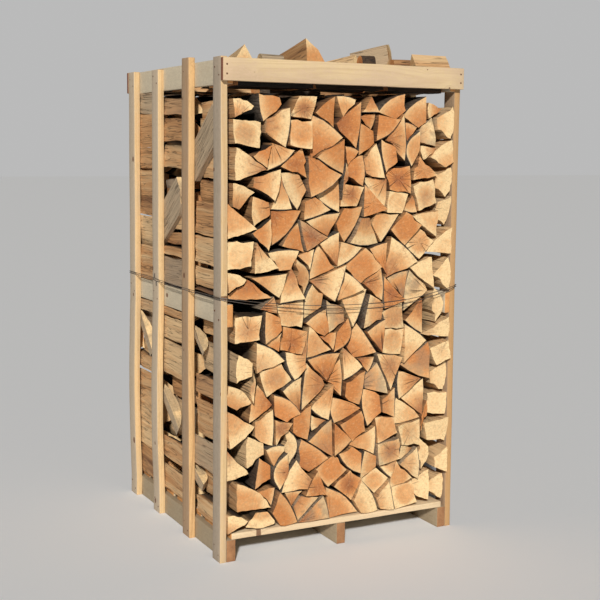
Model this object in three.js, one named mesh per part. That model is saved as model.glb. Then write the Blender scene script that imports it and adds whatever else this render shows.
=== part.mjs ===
// A slatted pallet crate filled with split firewood and tied round with wire.
// Millimetres, +Z up. The origin is on the ground under the middle of the crate,
// -Y is the open front where the log ends show, and +X is to the right of it.
import * as THREE from 'three';

// Driving dimensions of the crate
const WIDTH = 1107; // over the outer faces of the slats
const DEPTH = 1094; // front edge to back edge of the slats
const HEIGHT = 2000; // ground to the top of the side rails
const GAP = 0.3; // clearance kept between touching pieces

const SLAT = { thick: 28, wide: 78 };
const RUNNER = { wide: 40, tall: 90 };
const DECK = { thick: 25, wide: 118, count: 7, inset: 22 };
const TOP_RAIL = { thick: 24, tall: 98 };
const MID_RAIL = { thick: 26, tall: 90, bottom: 955 };
const FRONT_BOARD = { thick: 25, tall: 88 };
const BACK_BOARD = { thick: 25, tall: 95 };

// Driving dimensions of the load
const ROW_DEPTH = 364; // one row of logs, over its longest and most forward ends
const ROW_PROUD = 18; // how far the outer rows stand out past the slats
const FRONT_TOP = 1896; // top of the front row
const BACK_TOP = 1900; // top of the back row
const MIDDLE_TOP = 1898; // top of the middle row
const RIGHT_TOP = 1884; // the middle row's top near the right side, where it is lower
const STEP_X = 340; // where it drops to that height
const PLANK_ROOM = 25; // room beside a row where a thin slab leans on the slats
const OFFCUT_ROOM = 47; // and where a thicker half-round offcut does

// Tie wire
const WIRE = { radius: 1.5, sides: 8, clear: 0.6, level: 1072 };

// Places worked out from the dimensions above
const slatInner = WIDTH / 2 - SLAT.thick;
const inside = slatInner - GAP; // half the room between the two slat walls
const deckTop = RUNNER.tall + GAP + DECK.thick;
const stackFloor = deckTop + GAP;
const topRailBottom = HEIGHT - TOP_RAIL.tall;
const midRailInner = inside - MID_RAIL.thick;
const midRailTop = MID_RAIL.bottom + MID_RAIL.tall;
const rowCentre = DEPTH / 2 + ROW_PROUD - ROW_DEPTH / 2;

// Slats, from the front corner to the back corner: the front edge's distance from the
// crate's front, how far the top stands over (or under) the rail, and how far the logs
// have pushed the slat outwards between its runner and the rail half way up
const LEFT_SLATS = [
  { from: 0, over: 6 },
  { from: 333, over: 22 },
  { from: 701, over: -7, bow: 9 },
  { from: DEPTH - SLAT.wide, over: 0, bow: 8 },
];
const RIGHT_SLATS = [
  { from: 0, over: 0 },
  { from: 346, over: 9 },
  { from: 688, over: -5 },
  { from: DEPTH - SLAT.wide, over: 4 },
];

const COLOURS = {
  slat: 0xb9a284,
  sawn: 0xcdb48a,
  runner: 0x9a7650,
  deck: 0xc2a67a,
  log: 0xdba869,
  bark: 0x7d6b58,
  wire: 0x8d8a88,
};

const part = new THREE.Group();

function finish(colour, roughness = 0.85, metalness = 0) {
  return new THREE.MeshStandardMaterial({ color: colour, roughness, metalness });
}

function addMesh(name, geometry, material, parent = part) {
  const mesh = new THREE.Mesh(geometry, material);
  mesh.name = name;
  parent.add(mesh);
  return mesh;
}

// A board given by its low corner and its size along X, Y and Z
function addBoard(name, low, size, colour) {
  const board = addMesh(name, new THREE.BoxGeometry(...size), finish(colour));
  board.position.set(low[0] + size[0] / 2, low[1] + size[1] / 2, low[2] + size[2] / 2);
}

// ---- Pallet base: three runners along Y and a deck of boards across them ----
function addBase() {
  const runners = { left: -inside, middle: -RUNNER.wide / 2, right: inside - RUNNER.wide };
  for (const [side, x] of Object.entries(runners)) {
    const size = [RUNNER.wide, DEPTH, RUNNER.tall];
    addBoard(`runner_${side}`, [x, -DEPTH / 2, 0], size, COLOURS.runner);
  }
  const pitch = (DEPTH - DECK.wide) / (DECK.count - 1);
  const end = inside - DECK.inset;
  for (let i = 0; i < DECK.count; i += 1) {
    const low = [-end, -DEPTH / 2 + i * pitch, RUNNER.tall + GAP];
    addBoard(`deck_board_${i + 1}`, low, [2 * end, DECK.wide, DECK.thick], COLOURS.deck);
  }
}

// A slat whose lower half bends outwards, drawn from the side and drawn out along Y
const BOW_STEPS = 10;

function addBowedSlat(name, sign, y, tall, bow) {
  const outer = slatInner + SLAT.thick;
  const bend = [];
  for (let i = 0; i <= BOW_STEPS; i += 1) {
    const part = i / BOW_STEPS;
    const z = RUNNER.tall + part * (MID_RAIL.bottom - RUNNER.tall);
    bend.push([bow * Math.sin(Math.PI * part), z]);
  }
  const inner = bend.map(([out, z]) => [slatInner + out, z]);
  const back = bend.map(([out, z]) => [outer + out, z]).reverse();
  const points = [[slatInner, 0], ...inner, [slatInner, tall], [outer, tall], ...back, [outer, 0]];
  const shape = new THREE.Shape(points.map(([x, z]) => new THREE.Vector2(sign * x, z)));
  const settings = { depth: SLAT.wide, bevelEnabled: false, steps: 1 };
  const slat = addMesh(name, new THREE.ExtrudeGeometry(shape, settings), finish(COLOURS.slat));
  slat.rotation.x = Math.PI / 2;
  slat.position.y = y + SLAT.wide;
}

// ---- Side walls: upright slats with a rail inside them at the top and half way ----
function addWall(side, slats) {
  const sign = side === 'left' ? -1 : 1;
  slats.forEach((slat, i) => {
    const name = `slat_${side}_${i + 1}`;
    const y = -DEPTH / 2 + slat.from;
    if (slat.bow) {
      addBowedSlat(name, sign, y, HEIGHT + slat.over, slat.bow);
    } else {
      const x = sign > 0 ? slatInner : -slatInner - SLAT.thick;
      addBoard(name, [x, y, 0], [SLAT.thick, SLAT.wide, HEIGHT + slat.over], COLOURS.slat);
    }
  });
  const rails = [
    { name: 'top_rail', thick: TOP_RAIL.thick, tall: TOP_RAIL.tall, z: topRailBottom },
    { name: 'mid_rail', thick: MID_RAIL.thick, tall: MID_RAIL.tall, z: MID_RAIL.bottom },
  ];
  for (const rail of rails) {
    const x = sign > 0 ? inside - rail.thick : -inside;
    const size = [rail.thick, DEPTH, rail.tall];
    addBoard(`${rail.name}_${side}`, [x, -DEPTH / 2, rail.z], size, COLOURS.slat);
  }
}

// ---- Top boards, nailed across the slats' front and back edges ----
function addTopBoards() {
  const frontLow = [-WIDTH / 2, -DEPTH / 2 - GAP - FRONT_BOARD.thick, HEIGHT - FRONT_BOARD.tall];
  addBoard('top_board_front', frontLow, [WIDTH, FRONT_BOARD.thick, FRONT_BOARD.tall], COLOURS.sawn);
  const backLow = [-WIDTH / 2, DEPTH / 2 + GAP, HEIGHT - BACK_BOARD.tall];
  addBoard('top_board_back', backLow, [WIDTH, BACK_BOARD.thick, BACK_BOARD.tall], COLOURS.sawn);
}

// ---- Rows of stacked logs, each one solid that reaches the logs' tips ----
// The outline is drawn in X and Z. notches are stretches of the left side that are
// set in for the splints, each from one height to another and so many mm deep.
function rowOutline(notches, topPoints) {
  const room = inside - GAP;
  const rail = midRailInner - GAP;
  const underRail = MID_RAIL.bottom - GAP;
  const overRail = midRailTop + GAP;
  const left = [[-room, stackFloor]];
  const setIn = (low, high, x) => left.push([-room, low], [-x, low], [-x, high], [-room, high]);
  for (const [low, high, depth] of notches) {
    setIn(low, high, room - depth);
  }
  setIn(underRail, overRail, rail);
  const merged = mergeNotches(left);
  const right = [[room, overRail], [rail, overRail], [rail, underRail], [room, underRail]];
  const points = [...merged, ...topPoints, ...right, [room, stackFloor]];
  return new THREE.Shape(points.map(([x, z]) => new THREE.Vector2(x, z)));
}

// Puts the left side's notches in order of height and joins those that meet
function mergeNotches(left) {
  const [start, ...rest] = left;
  const notches = [];
  for (let i = 0; i < rest.length; i += 4) {
    notches.push({ low: rest[i][1], high: rest[i + 2][1], x: rest[i + 1][0] });
  }
  notches.sort((a, b) => a.low - b.low);
  const points = [start];
  let last = null;
  for (const notch of notches) {
    const meets = last !== null && notch.low <= last.high;
    if (meets) {
      points.pop();
      points[points.length - 1][1] = notch.low;
    } else {
      points.push([start[0], notch.low]);
    }
    points.push([notch.x, notch.low], [notch.x, notch.high], [start[0], notch.high]);
    last = notch;
  }
  return points;
}

function addRow(name, centreY, notches, topPoints) {
  const settings = { depth: ROW_DEPTH, bevelEnabled: false, steps: 1 };
  const geometry = new THREE.ExtrudeGeometry(rowOutline(notches, topPoints), settings);
  geometry.rotateX(Math.PI / 2);
  geometry.translate(0, centreY + ROW_DEPTH / 2, 0);
  addMesh(name, geometry, finish(COLOURS.log));
}

function addRows() {
  const room = inside - GAP;
  const frontTop = [[-room, FRONT_TOP], [room, FRONT_TOP]];
  const backTop = [[-room, BACK_TOP], [room, BACK_TOP]];
  const middleTop = [
    [-room, MIDDLE_TOP], [STEP_X, MIDDLE_TOP], [STEP_X, RIGHT_TOP], [room, RIGHT_TOP],
  ];
  const frontNotches = [
    [200, 340, OFFCUT_ROOM], [760, 960, OFFCUT_ROOM], [1480, 1850, PLANK_ROOM],
  ];
  const middleNotches = [
    [200, 640, OFFCUT_ROOM], [760, 960, OFFCUT_ROOM], [1180, 1680, PLANK_ROOM],
  ];
  const backNotches = [
    [480, 640, OFFCUT_ROOM], [680, 960, OFFCUT_ROOM], [1180, 1440, PLANK_ROOM],
  ];
  addRow('log_row_front', -rowCentre, frontNotches, frontTop);
  addRow('log_row_middle', 0, middleNotches, middleTop);
  addRow('log_row_back', rowCentre, backNotches, backTop);
}

// ---- Split pieces: a section drawn across the grain, drawn out along it ----
// Each section lies on Z = 0 with its own width and height. A curved side is bark.
const SECTIONS = {
  wedge: (w, h) => {
    const s = new THREE.Shape();
    s.moveTo(-w / 2, 0);
    s.lineTo(w / 2, 0);
    s.lineTo(w * 0.12, h);
    return s;
  },
  quarter: (w, h) => {
    const s = new THREE.Shape();
    s.moveTo(-w / 2, 0);
    s.lineTo(w / 2, 0);
    s.quadraticCurveTo(w * 0.42, h * 0.78, -w * 0.2, h);
    return s;
  },
  half: (w, h) => {
    const s = new THREE.Shape();
    s.moveTo(-w / 2, 0);
    s.lineTo(w / 2, 0);
    s.quadraticCurveTo(w * 0.5, h, 0, h);
    s.quadraticCurveTo(-w * 0.5, h, -w / 2, 0);
    return s;
  },
  // a wedge whose left side stands upright
  upright: (w, h) => {
    const s = new THREE.Shape();
    s.moveTo(-w / 2, 0);
    s.lineTo(w / 2, 0);
    s.lineTo(w * 0.1, h * 0.62);
    s.lineTo(-w * 0.4, h);
    return s;
  },
  block: (w, h) => {
    const s = new THREE.Shape();
    s.moveTo(-w / 2, 0);
    s.lineTo(w * 0.46, 0);
    s.lineTo(w / 2, h * 0.7);
    s.lineTo(w * 0.3, h);
    s.lineTo(-w * 0.42, h * 0.94);
    return s;
  },
};
const ARC_STEPS = 5;

function splitPiece(section, wide, tall, long) {
  const shape = SECTIONS[section](wide, tall);
  const settings = { depth: long, bevelEnabled: false, steps: 1, curveSegments: ARC_STEPS };
  const geometry = new THREE.ExtrudeGeometry(shape, settings);
  geometry.rotateX(Math.PI / 2);
  geometry.translate(0, long / 2, 0);
  return geometry;
}

// ---- Loose heap on top. x, y are the middle of the underside, z its height there.
// turn swings the piece about Z (0 points along Y), lift raises its front end. ----
const ON_FRONT = FRONT_TOP + GAP;
const ON_MIDDLE = MIDDLE_TOP + GAP;
const ON_BACK = BACK_TOP + GAP;
const ON_RIGHT = RIGHT_TOP + GAP;
const ON_RIM = HEIGHT + GAP;
const HEAP = [
  // lying on the front row
  { kind: 'block', w: 118, h: 86, l: 318, x: -336, y: -352, z: ON_FRONT, turn: 86 },
  { kind: 'block', w: 122, h: 90, l: 316, x: 2, y: -345, z: ON_FRONT, turn: 93 },
  { kind: 'block', w: 112, h: 88, l: 300, x: 338, y: -322, z: ON_FRONT, turn: 88 },
  { kind: 'half', w: 104, h: 62, l: 330, x: -312, y: -480, z: ON_FRONT, turn: 91 },
  { kind: 'wedge', w: 96, h: 70, l: 310, x: 30, y: -482, z: ON_FRONT, turn: 88 },
  { kind: 'block', w: 104, h: 86, l: 270, x: 348, y: -456, z: ON_FRONT, turn: 91 },
  // on top of those, behind the front board, with their back ends on the middle row
  { kind: 'wedge', w: 116, h: 94, l: 318, x: -350, y: -152, z: 1949, turn: 2, lift: 15 },
  { kind: 'half', w: 84, h: 50, l: 92, x: -268, y: -396, z: 1984, turn: 82 },
  { kind: 'upright', w: 106, h: 132, l: 338, x: -18, y: -146, z: 1952, turn: 3, lift: 13 },
  { kind: 'wedge', w: 96, h: 76, l: 250, x: 142, y: -166, z: 1969, turn: 24, lift: 8 },
  { kind: 'block', w: 86, h: 106, l: 166, x: 328, y: -207, z: 1995, turn: 46, lift: 12 },
  { kind: 'half', w: 58, h: 62, l: 66, x: 200, y: -356, z: 1988, turn: 88 },
  { kind: 'wedge', w: 84, h: 56, l: 156, x: 424, y: -500, z: ON_RIM, turn: 80 },
  { kind: 'block', w: 76, h: 52, l: 104, x: 346, y: -404, z: 1985, turn: 84 },
  // lying on the middle row
  { kind: 'wedge', w: 112, h: 78, l: 320, x: -312, y: 108, z: ON_MIDDLE, turn: 86 },
  { kind: 'half', w: 116, h: 66, l: 322, x: 40, y: 108, z: ON_MIDDLE, turn: 95 },
  { kind: 'block', w: 110, h: 104, l: 320, x: 428, y: -4, z: ON_RIGHT, turn: 3 },
  // lying on the back row
  { kind: 'half', w: 122, h: 84, l: 318, x: -418, y: 372, z: ON_BACK, turn: 5 },
  { kind: 'quarter', w: 118, h: 112, l: 322, x: -266, y: 374, z: ON_BACK, turn: -5 },
  { kind: 'block', w: 120, h: 94, l: 316, x: -118, y: 368, z: ON_BACK, turn: 4 },
  { kind: 'wedge', w: 124, h: 108, l: 322, x: 30, y: 372, z: ON_BACK, turn: -6 },
  { kind: 'half', w: 120, h: 88, l: 318, x: 188, y: 374, z: ON_BACK, turn: 7 },
  { kind: 'quarter', w: 126, h: 104, l: 220, x: 382, y: 300, z: ON_BACK, turn: 84 },
  { kind: 'block', w: 112, h: 90, l: 224, x: 382, y: 452, z: ON_BACK, turn: 95 },
];

function addHeap() {
  HEAP.forEach((log, i) => {
    const shape = splitPiece(log.kind, log.w, log.h, log.l);
    const mesh = addMesh(`heap_log_${i + 1}`, shape, finish(COLOURS.log));
    const place = new THREE.Group();
    place.position.set(log.x, log.y, log.z);
    place.rotation.z = THREE.MathUtils.degToRad(log.turn);
    mesh.rotation.x = THREE.MathUtils.degToRad(-(log.lift ?? 0));
    place.add(mesh);
    part.add(place);
  });
}

// ---- Splints leaning between the left slats and the rows. Two are thin slabs, rounded
// at their upper end, and four are half-round offcuts whose flat side rests on the slats.
// y, z are the two ends of the middle line. ----
const SPLINTS = [
  { kind: 'slab', top: [-440, 1776], bottom: [-170, 1574], wide: 140, thick: 22 },
  { kind: 'slab', top: [-42, 1470], bottom: [234, 1289], wide: 150, thick: 22 },
  { kind: 'offcut', top: [512, 888], bottom: [332, 706], wide: 42, thick: 34 },
  { kind: 'offcut', top: [246, 596], bottom: [-6, 413], wide: 42, thick: 44 },
  { kind: 'offcut', top: [-160, 912], bottom: [-304, 810], wide: 24, thick: 40 },
  { kind: 'offcut', top: [-154, 300], bottom: [-296, 240], wide: 38, thick: 40 },
];

// Both are drawn with their length along Y and their width along Z, from X = 0 inwards.
// A slab is turned over when its upper end is swung to the front, so +Z is its lower edge.
const SPLINT_KINDS = {
  slab: (wide, thick, long) => {
    const outline = [[-0.5, 0.5], [0.27, 0.5], [0.42, 0.3], [0.5, -0.02], [0.49, -0.5], [-0.5, -0.46]];
    const shape = new THREE.Shape(outline.map(([y, z]) => new THREE.Vector2(y * long, z * wide)));
    const geometry = new THREE.ExtrudeGeometry(shape, { depth: thick, bevelEnabled: false, steps: 1 });
    geometry.rotateX(Math.PI / 2);
    geometry.rotateZ(Math.PI / 2);
    return geometry;
  },
  offcut: (wide, thick, long) => {
    const shape = new THREE.Shape();
    shape.moveTo(0, -long / 2);
    shape.quadraticCurveTo(2 * thick, -long * 0.12, 0, long / 2);
    const settings = { depth: wide, bevelEnabled: false, steps: 1, curveSegments: 2 * ARC_STEPS };
    const geometry = new THREE.ExtrudeGeometry(shape, settings);
    geometry.translate(0, 0, -wide / 2);
    return geometry;
  },
};

function addSplints() {
  SPLINTS.forEach((splint, i) => {
    const [topY, topZ] = splint.top;
    const [bottomY, bottomZ] = splint.bottom;
    const long = Math.hypot(topY - bottomY, topZ - bottomZ);
    const shape = SPLINT_KINDS[splint.kind](splint.wide, splint.thick, long);
    const mesh = addMesh(`side_splint_${i + 1}`, shape, finish(COLOURS.log));
    mesh.position.set(-inside + GAP, (topY + bottomY) / 2, (topZ + bottomZ) / 2);
    mesh.rotation.x = Math.atan2(topZ - bottomZ, topY - bottomY);
  });
}

// ---- Tie wire: two turns round the crate, over the slats and across the log ends ----
// A path through given points, with one point at each step
class Route extends THREE.Curve {
  constructor(points) {
    super();
    this.points = points;
  }

  getPoint(t) {
    const place = t * (this.points.length - 1);
    const i = Math.min(Math.floor(place), this.points.length - 2);
    return this.points[i].clone().lerp(this.points[i + 1], place - i);
  }

  getPointAt(u) {
    return this.getPoint(u);
  }

  getTangentAt(u) {
    const half = 0.5 / (this.points.length - 1);
    const before = this.getPoint(Math.max(u - half, 0));
    return this.getPoint(Math.min(u + half, 1)).sub(before).normalize();
  }
}

// The wire touches each slat's outer face, then sags in front of the log ends
function wirePoints(drop, shift, leg) {
  const off = WIRE.radius + WIRE.clear;
  const x = WIDTH / 2 + off;
  const y = DEPTH / 2 + off;
  const front = DEPTH / 2 + ROW_PROUD + off + 1;
  const z = WIRE.level - drop;
  const turn = 3; // how far from a corner the bend starts
  const tail = 26; // the ends, bent flat along the slat
  const sag = [
    [-inside, 4, 1], [-400, 24, 1], [-278, 38, 1], [-174, 48, 1], [-60, 54, 1], [65, 56, 1],
    [170, 54, 1], [268, 49, 1], [331, 43, 1], [430, 24, 1], [inside, 2, 1],
  ];
  const points = [];
  const add = (px, py, pz) => points.push(new THREE.Vector3(px, py, pz));
  const twistY = -DEPTH / 2 + LEFT_SLATS[2].from + SLAT.wide / 2 + shift;
  add(-x, twistY - turn, z + leg * tail);
  add(-x, twistY - turn, z + leg * turn);
  add(-x, twistY - 2 * turn, z);
  add(-x, -DEPTH / 2 + LEFT_SLATS[1].from + SLAT.wide, z - 2);
  add(-x, -DEPTH / 2 + LEFT_SLATS[1].from, z - 2);
  add(-x, -DEPTH / 2 + SLAT.wide, z);
  add(-x, -DEPTH / 2 + 1, z + 1);
  add(-x + 0.6, -y + 0.6, z + 1);
  add(-WIDTH / 2 + 1, -y, z + 1);
  for (const [sx, down] of sag) {
    add(sx, -front, z + 2 - down * (1 + drop / 30));
  }
  add(WIDTH / 2 - 1, -y, z + 4);
  add(x - 0.6, -y + 0.6, z + 4);
  add(x, -DEPTH / 2 + 1, z + 4);
  for (const slat of RIGHT_SLATS.slice(1, 3)) {
    add(x, -DEPTH / 2 + slat.from, z + 1);
    add(x, -DEPTH / 2 + slat.from + SLAT.wide, z + 1);
  }
  add(x, DEPTH / 2 - 1, z);
  add(x - 0.6, y - 0.6, z);
  add(WIDTH / 2 - 1, y, z);
  add(inside, front, z - 3);
  add(0, front, z - 14);
  add(-inside, front, z - 3);
  add(-WIDTH / 2 + 1, y, z);
  add(-x + 0.6, y - 0.6, z);
  add(-x, DEPTH / 2 - 1, z);
  add(-x, -DEPTH / 2 + LEFT_SLATS[2].from + SLAT.wide, z + 4);
  add(-x, twistY + 2 * turn, z);
  add(-x, twistY + turn, z + leg * turn);
  add(-x, twistY + turn, z + leg * tail);
  return points;
}

function addWire(name, drop, shift, leg) {
  const points = wirePoints(drop, shift, leg);
  const ring = new THREE.Shape();
  for (let i = 0; i < WIRE.sides; i += 1) {
    const a = (2 * Math.PI * i) / WIRE.sides;
    const corner = [WIRE.radius * Math.cos(a), WIRE.radius * Math.sin(a)];
    if (i === 0) ring.moveTo(...corner);
    else ring.lineTo(...corner);
  }
  ring.closePath();
  const settings = { steps: points.length - 1, extrudePath: new Route(points), bevelEnabled: false };
  addMesh(name, new THREE.ExtrudeGeometry(ring, settings), finish(COLOURS.wire, 0.45, 0.8));
}

addBase();
addWall('left', LEFT_SLATS);
addWall('right', RIGHT_SLATS);
addTopBoards();
addRows();
addHeap();
addSplints();
addWire('tie_wire_upper', 0, 8, 1);
addWire('tie_wire_lower', 7, -14, -1);

export default part;
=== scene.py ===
# %% [markdown]
# # Split firewood in a slatted pallet crate
# The object is a crate of sawn boards on three runners, about head height and more. It holds
# three rows of split logs, a loose heap on top and a few splints that lean at the side, and
# two turns of wire tie it round. This lesson dresses the crate's plain solids in wood: it
# stacks almost six hundred logs, roughens the boards, drives the nails and paints everything
# with node materials. Lengths are in metres, Z is up, and the open front faces -Y.

# %% Load the solids as a fixed frame
import math

import bmesh
import bpy
import numpy as np
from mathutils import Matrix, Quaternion, Vector, noise


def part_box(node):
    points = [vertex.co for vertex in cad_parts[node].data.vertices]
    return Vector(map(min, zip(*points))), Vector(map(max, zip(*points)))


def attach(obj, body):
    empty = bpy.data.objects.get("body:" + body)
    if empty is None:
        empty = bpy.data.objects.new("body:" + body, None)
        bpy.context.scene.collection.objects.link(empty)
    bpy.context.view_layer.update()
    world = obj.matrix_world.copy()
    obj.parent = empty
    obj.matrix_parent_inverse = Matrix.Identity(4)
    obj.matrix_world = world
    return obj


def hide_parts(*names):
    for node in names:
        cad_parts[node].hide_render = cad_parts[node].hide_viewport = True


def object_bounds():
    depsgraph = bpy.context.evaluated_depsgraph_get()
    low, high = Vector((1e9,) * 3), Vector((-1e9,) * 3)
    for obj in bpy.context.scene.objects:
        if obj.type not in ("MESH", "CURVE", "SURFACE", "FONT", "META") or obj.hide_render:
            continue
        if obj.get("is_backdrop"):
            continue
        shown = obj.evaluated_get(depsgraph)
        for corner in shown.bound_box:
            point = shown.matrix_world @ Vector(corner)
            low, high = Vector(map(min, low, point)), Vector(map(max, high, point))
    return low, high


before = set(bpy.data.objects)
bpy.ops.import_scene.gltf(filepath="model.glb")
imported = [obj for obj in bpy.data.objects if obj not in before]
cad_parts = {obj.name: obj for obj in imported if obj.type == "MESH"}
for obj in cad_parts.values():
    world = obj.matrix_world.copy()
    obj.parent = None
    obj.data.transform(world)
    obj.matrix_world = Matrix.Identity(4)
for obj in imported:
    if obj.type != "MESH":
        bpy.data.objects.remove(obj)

noise.seed_set(7)  # it seeds itself by the clock otherwise, and no two runs have the same dents
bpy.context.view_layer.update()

# %% [markdown]
# ## The camera
# It stands at eye height, about four metres in front of the crate and two to the left of
# its middle, so that the front and the left side both show. A long lens keeps the uprights
# nearly parallel. A camera could be aimed with a Track To constraint, but a quaternion made
# from the line of sight needs no target object and takes the slight roll in one product.

# %% Place the camera
CAMERA_PLACE = Vector((-2.2965, -4.6499, 1.6528))
HEADING = math.radians(27.01)  # from +Y towards +X
LOOK_DOWN = math.radians(6.29)
ROLL = math.radians(0.53)
LENS, SENSOR = 68.9, 36  # mm
LENS_SHIFT = -0.04  # upwards, in widths of the sensor


def line_of_sight(heading, look_down):
    """The unit vector of a view with that heading that looks down by that angle."""
    level = math.cos(look_down)
    return Vector((math.sin(heading) * level, math.cos(heading) * level, -math.sin(look_down)))


camera_data = bpy.data.cameras.new("studio_camera")
camera_data.sensor_width = SENSOR
camera_data.lens = LENS
camera_data.shift_y = LENS_SHIFT
camera = bpy.data.objects.new("studio_camera", camera_data)
camera.location = CAMERA_PLACE
camera.rotation_mode = "QUATERNION"
aim = line_of_sight(HEADING, LOOK_DOWN).to_track_quat("-Z", "Y")
camera.rotation_quaternion = aim @ Quaternion((0, 0, 1), ROLL)
bpy.context.scene.collection.objects.link(camera)
bpy.context.scene.camera = camera
print("camera at", tuple(CAMERA_PLACE))

# %% [markdown]
# ## Writing shaders as sums
# Wood is painted by arithmetic on coordinates, and arithmetic reads best as arithmetic. Field
# wraps a node's output so that Python's operators add Math nodes, and Graph adds every other
# node through one method. Building the same network by hand in the editor gives the same
# result, but nobody could read it back as a recipe.

# %% A socket that can be added, multiplied and compared
class Field:
    """A node's output. Operators on it add Math nodes to its material."""

    def __init__(self, graph, socket):
        self.graph = graph
        self.socket = socket

    def math(self, operation, first, second=0.0):
        return self.graph.node("ShaderNodeMath", {"operation": operation}, {0: first, 1: second})

    def __add__(self, other):
        return self.math("ADD", self, other)

    def __radd__(self, other):
        return self.math("ADD", other, self)

    def __sub__(self, other):
        return self.math("SUBTRACT", self, other)

    def __rsub__(self, other):
        return self.math("SUBTRACT", other, self)

    def __mul__(self, other):
        return self.math("MULTIPLY", self, other)

    def __rmul__(self, other):
        return self.math("MULTIPLY", other, self)

    def __truediv__(self, other):
        return self.math("DIVIDE", self, other)

    def __rtruediv__(self, other):
        return self.math("DIVIDE", other, self)

    def __abs__(self):
        return self.math("ABSOLUTE", self)

    def root(self):
        return self.math("SQRT", self)

    def wave(self):
        return self.math("SINE", self)

    def step(self, low, high):
        """0 below low, 1 above high and a soft ramp between them."""
        settings = {"interpolation_type": "SMOOTHSTEP"}
        inputs = {"Value": self, "From Min": low, "From Max": high}
        return self.graph.node("ShaderNodeMapRange", settings, inputs, "Result")


# %% One material's nodes
class Graph:
    """A new material, and the method that adds a node to it."""

    def __init__(self, name):
        self.material = bpy.data.materials.new(name)
        self.material.use_nodes = True
        self.tree = self.material.node_tree
        self.shader = self.tree.nodes["Principled BSDF"]

    def node(self, kind, settings, inputs, output=0):
        """Adds a node of that kind, sets it up, fills its sockets and returns one output."""
        made = self.tree.nodes.new(kind)
        for setting, value in settings.items():
            setattr(made, setting, value)
        for key, value in inputs.items():
            self.fill(made.inputs[key], value)
        return Field(self, made.outputs[output])

    def fill(self, socket, value):
        if isinstance(value, Field):
            self.tree.links.new(value.socket, socket)
        else:
            socket.default_value = value

    def attribute(self, name, output="Vector"):
        """A vector that the mesh's points carry or, with the output Fac, a number."""
        return self.node("ShaderNodeAttribute", {"attribute_name": name}, {}, output)

    def parts(self, vector):
        """A vector's three numbers."""
        made = self.node("ShaderNodeSeparateXYZ", {}, {0: vector})
        return [Field(self, made.socket.node.outputs[i]) for i in range(3)]

    def point(self, x, y, z):
        return self.node("ShaderNodeCombineXYZ", {}, {0: x, 1: y, 2: z})

    def noise(self, vector, scale=1.0, detail=2.0, roughness=0.5):
        inputs = {"Vector": vector, "Scale": scale, "Detail": detail, "Roughness": roughness}
        return self.node("ShaderNodeTexNoise", {}, inputs, "Fac")

    def mix(self, factor, first, second):
        """A colour between two colours."""
        settings = {"data_type": "RGBA", "clamp_factor": True}
        return self.node("ShaderNodeMix", settings, {0: factor, 6: first, 7: second}, 2)

    def shade(self, colour, amount):
        """A colour made lighter or darker by a number."""
        grey = self.point(amount, amount, amount)
        settings = {"data_type": "RGBA", "blend_type": "MULTIPLY", "clamp_result": False}
        return self.node("ShaderNodeMix", settings, {0: 1.0, 6: colour, 7: grey}, 2)

    def finish(self, colour, roughness, height, depth):
        """Joins the colour, the roughness and the relief, depth metres deep, to the shader."""
        self.fill(self.shader.inputs["Base Color"], colour)
        self.fill(self.shader.inputs["Roughness"], roughness)
        relief = {"Height": height, "Distance": depth, "Strength": 1.0}
        normal = self.node("ShaderNodeBump", {}, relief, "Normal")
        self.fill(self.shader.inputs["Normal"], normal)
        print("material", self.material.name, "with", len(self.tree.nodes), "nodes")
        return self.material


def tint(red, green, blue):
    """A colour given from 0 to 255, as on a paint card, in the linear values that nodes use."""
    parts = [value / 255 for value in (red, green, blue)]
    return (*[p / 12.92 if p < 0.04 else ((p + 0.055) / 1.055) ** 2.4 for p in parts], 1.0)


# %% [markdown]
# ## The attributes that every wooden face carries
# Wood's pattern follows the tree and not the room, so Object coordinates alone won't do: each
# log lay elsewhere in its tree. Each point therefore carries "wood", its place in the tree it
# came from, with X and Y across the grain measured from the pith and Z along it, and "trait",
# three numbers from 0 to 1 that differ from one piece to the next. For a log they are its
# redness, how dark its heart is and how weathered it is. "girth" is the distance from the
# pith to the bark of the tree that a log came from, and "depth" is how deep inside the stack
# a point lies: the wood there is darkened with painted shade, for the shadow of the logs round it.

# %% Names of the attributes
WOOD = "wood"
TRAIT = "trait"
GIRTH = "girth"
SHADE_DEPTH = "depth"
# Painted shade: between these depths the wood darkens, by INNER_DARK at the most, as it would in
# shadow.
INNER_RAMP = (0.02, 0.3)  # the depths between which wood darkens
INNER_DARK = 0.9
print("points carry", WOOD, TRAIT, GIRTH, SHADE_DEPTH)

# %% [markdown]
# ## Log ends
# A log end is a fresh saw cut: cream sapwood, a warm tan to orange middle, a darker heart near
# the pith in some trees, faint growth rings, short drying cracks that run out from the pith
# and the chain saw's straight marks. Rings are a sine of the distance from the pith. Cracks
# are thin level lines of a noise that knows only the direction from the pith, so they are
# straight and radial without any drawing.

# %% Paint for log ends
CREAM = tint(238, 206, 154)
HONEY = tint(216, 163, 108)
ORANGE = tint(198, 128, 70)
HEARTWOOD = tint(148, 84, 46)
GREYED = tint(140, 124, 102)
RING_WIDTH = 0.0034


def inner_shade(g):
    """The painted shade of wood deep in the stack: how light it stays by how deep it lies."""
    return 1 - g.attribute(SHADE_DEPTH, "Fac").step(*INNER_RAMP) * INNER_DARK


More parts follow.
